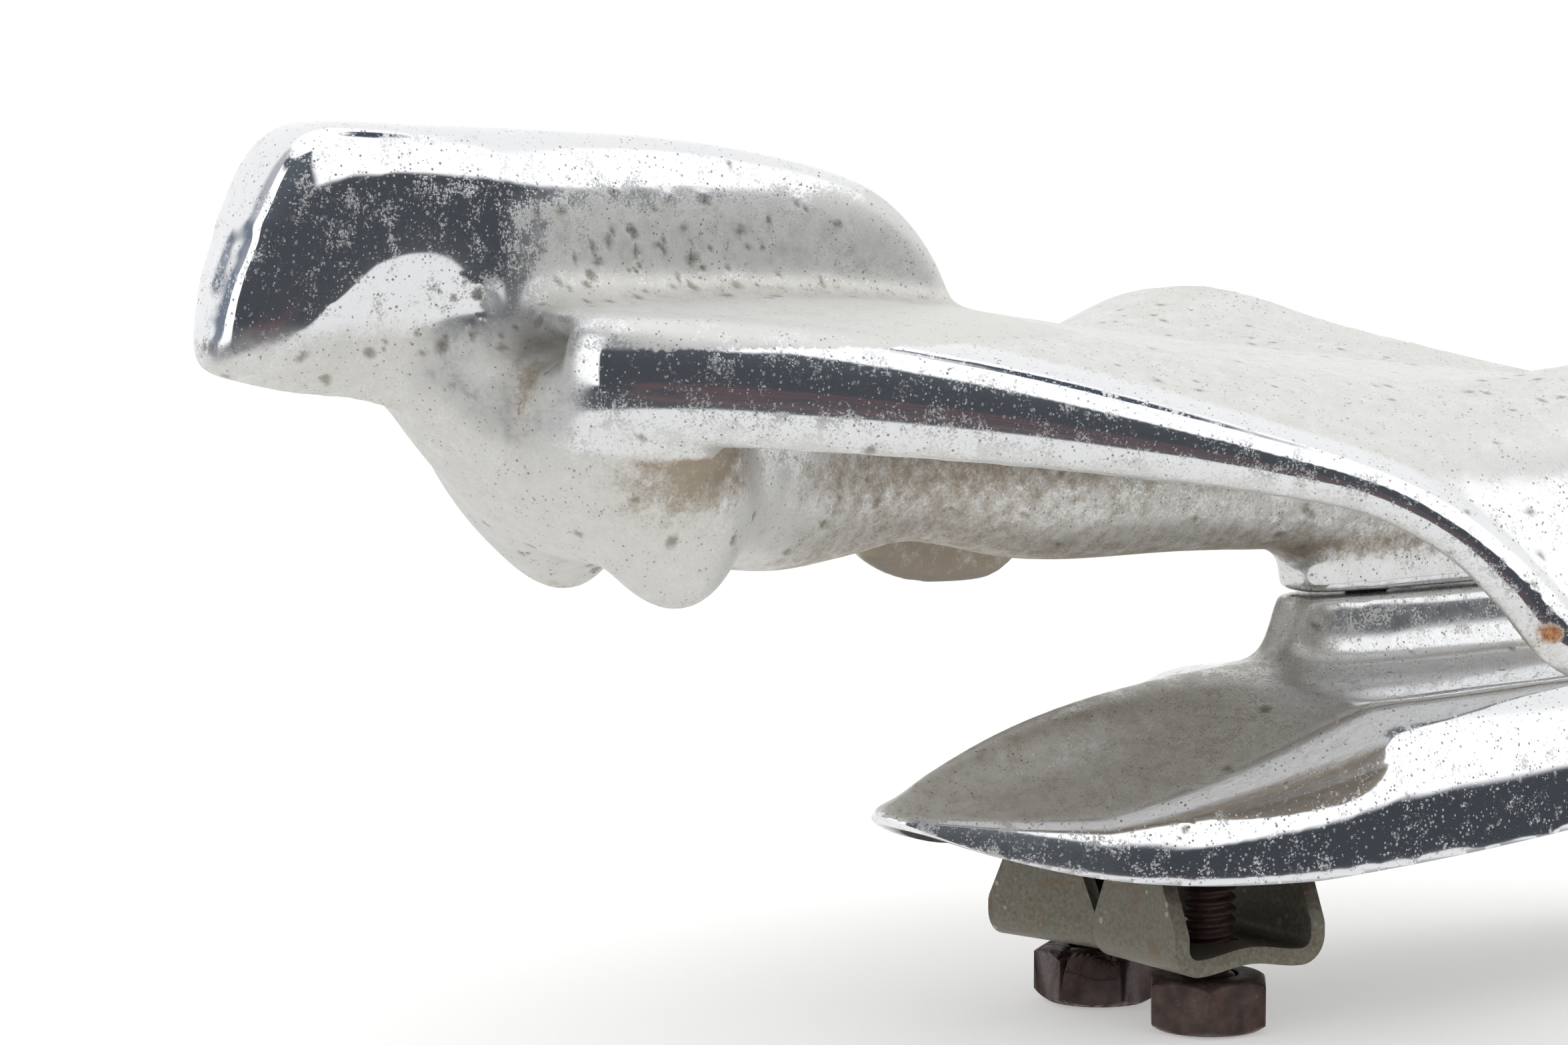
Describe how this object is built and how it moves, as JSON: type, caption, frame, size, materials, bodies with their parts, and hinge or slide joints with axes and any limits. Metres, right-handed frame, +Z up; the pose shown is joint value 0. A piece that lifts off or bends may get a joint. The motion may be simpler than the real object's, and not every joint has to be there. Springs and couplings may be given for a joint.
{
  "type": "hood ornament",
  "caption": "Streamlined winged figure with hair swept back into a blade, chromed, on a hollow pointed base held by studs, U clamps and hex nuts.",
  "frame": {"origin": "on the plane its nuts stand on, under the middle of the bounding box", "axes": "+Z up, -Y the way the figure faces, +X the figure's left"},
  "size_m": [0.1358, 0.26, 0.1028],
  "materials": {
    "figure_chrome": "old chrome plate on a zinc die casting, pitted, hazed, brown in the corners",
    "base_chrome": "old chrome plate on a zinc die casting, brighter on the sides, pitted",
    "dark_steel": "dark brown oxide",
    "zinc_steel": "dull olive-grey zinc plate"
  },
  "bodies": {
    "ornament": {"figure_casting": "figure_chrome", "base_casting": "base_chrome", "joining_screw_front": "dark_steel", "joining_screw_rear": "dark_steel", "lock_washer_front": "dark_steel", "lock_washer_rear": "dark_steel"},
    "stud_front_left": {"stud_front_left": "dark_steel"},
    "clamp_front_left": {"clamp_front_left": "zinc_steel"},
    "nut_front_left": {"nut_front_left": "dark_steel"},
    "stud_front_right": {"stud_front_right": "dark_steel"},
    "clamp_front_right": {"clamp_front_right": "zinc_steel"},
    "nut_front_right": {"nut_front_right": "dark_steel"},
    "stud_rear": {"stud_rear": "dark_steel"},
    "clamp_rear": {"clamp_rear": "zinc_steel"},
    "nut_rear": {"nut_rear": "dark_steel"}
  },
  "joints": [
    {"name": "clamp_front_left_swivel", "type": "hinge", "parent": "ornament", "child": "stud_front_left", "pos_m": [0.0102, -0.01, 0.01], "axis": [0, 0, 1], "range_deg": [-3, 3]},
    {"name": "clamp_front_left_travel", "type": "slide", "parent": "stud_front_left", "child": "clamp_front_left", "axis": [0, 0, 1], "range_m": [0, 0.00254]},
    {"name": "nut_front_left_spin", "type": "hinge", "parent": "clamp_front_left", "child": "nut_front_left", "pos_m": [0.0102, -0.01, 0.003], "axis": [0, 0, 1], "range_deg": [0, 720.2]},
    {"name": "clamp_front_right_swivel", "type": "hinge", "parent": "ornament", "child": "stud_front_right", "pos_m": [-0.0102, -0.01, 0.01], "axis": [0, 0, 1], "range_deg": [-3, 3]},
    {"name": "clamp_front_right_travel", "type": "slide", "parent": "stud_front_right", "child": "clamp_front_right", "axis": [0, 0, 1], "range_m": [0, 0.00254]},
    {"name": "nut_front_right_spin", "type": "hinge", "parent": "clamp_front_right", "child": "nut_front_right", "pos_m": [-0.0102, -0.01, 0.003], "axis": [0, 0, 1], "range_deg": [0, 720.2]},
    {"name": "clamp_rear_swivel", "type": "hinge", "parent": "ornament", "child": "stud_rear", "pos_m": [0, 0.078, 0.01], "axis": [0, 0, 1], "range_deg": [-10, 10]},
    {"name": "clamp_rear_travel", "type": "slide", "parent": "stud_rear", "child": "clamp_rear", "axis": [0, 0, 1], "range_m": [0, 0.00254]},
    {"name": "nut_rear_spin", "type": "hinge", "parent": "clamp_rear", "child": "nut_rear", "pos_m": [0, 0.078, 0.003], "axis": [0, 0, 1], "range_deg": [0, 720.2]}
  ],
  "couplings": [
    {"joint": "nut_front_left_spin", "follows": "clamp_front_left_travel", "rad_per_m": 4947.4},
    {"joint": "nut_front_right_spin", "follows": "clamp_front_right_travel", "rad_per_m": 4947.4},
    {"joint": "nut_rear_spin", "follows": "clamp_rear_travel", "rad_per_m": 4947.4}
  ]
}
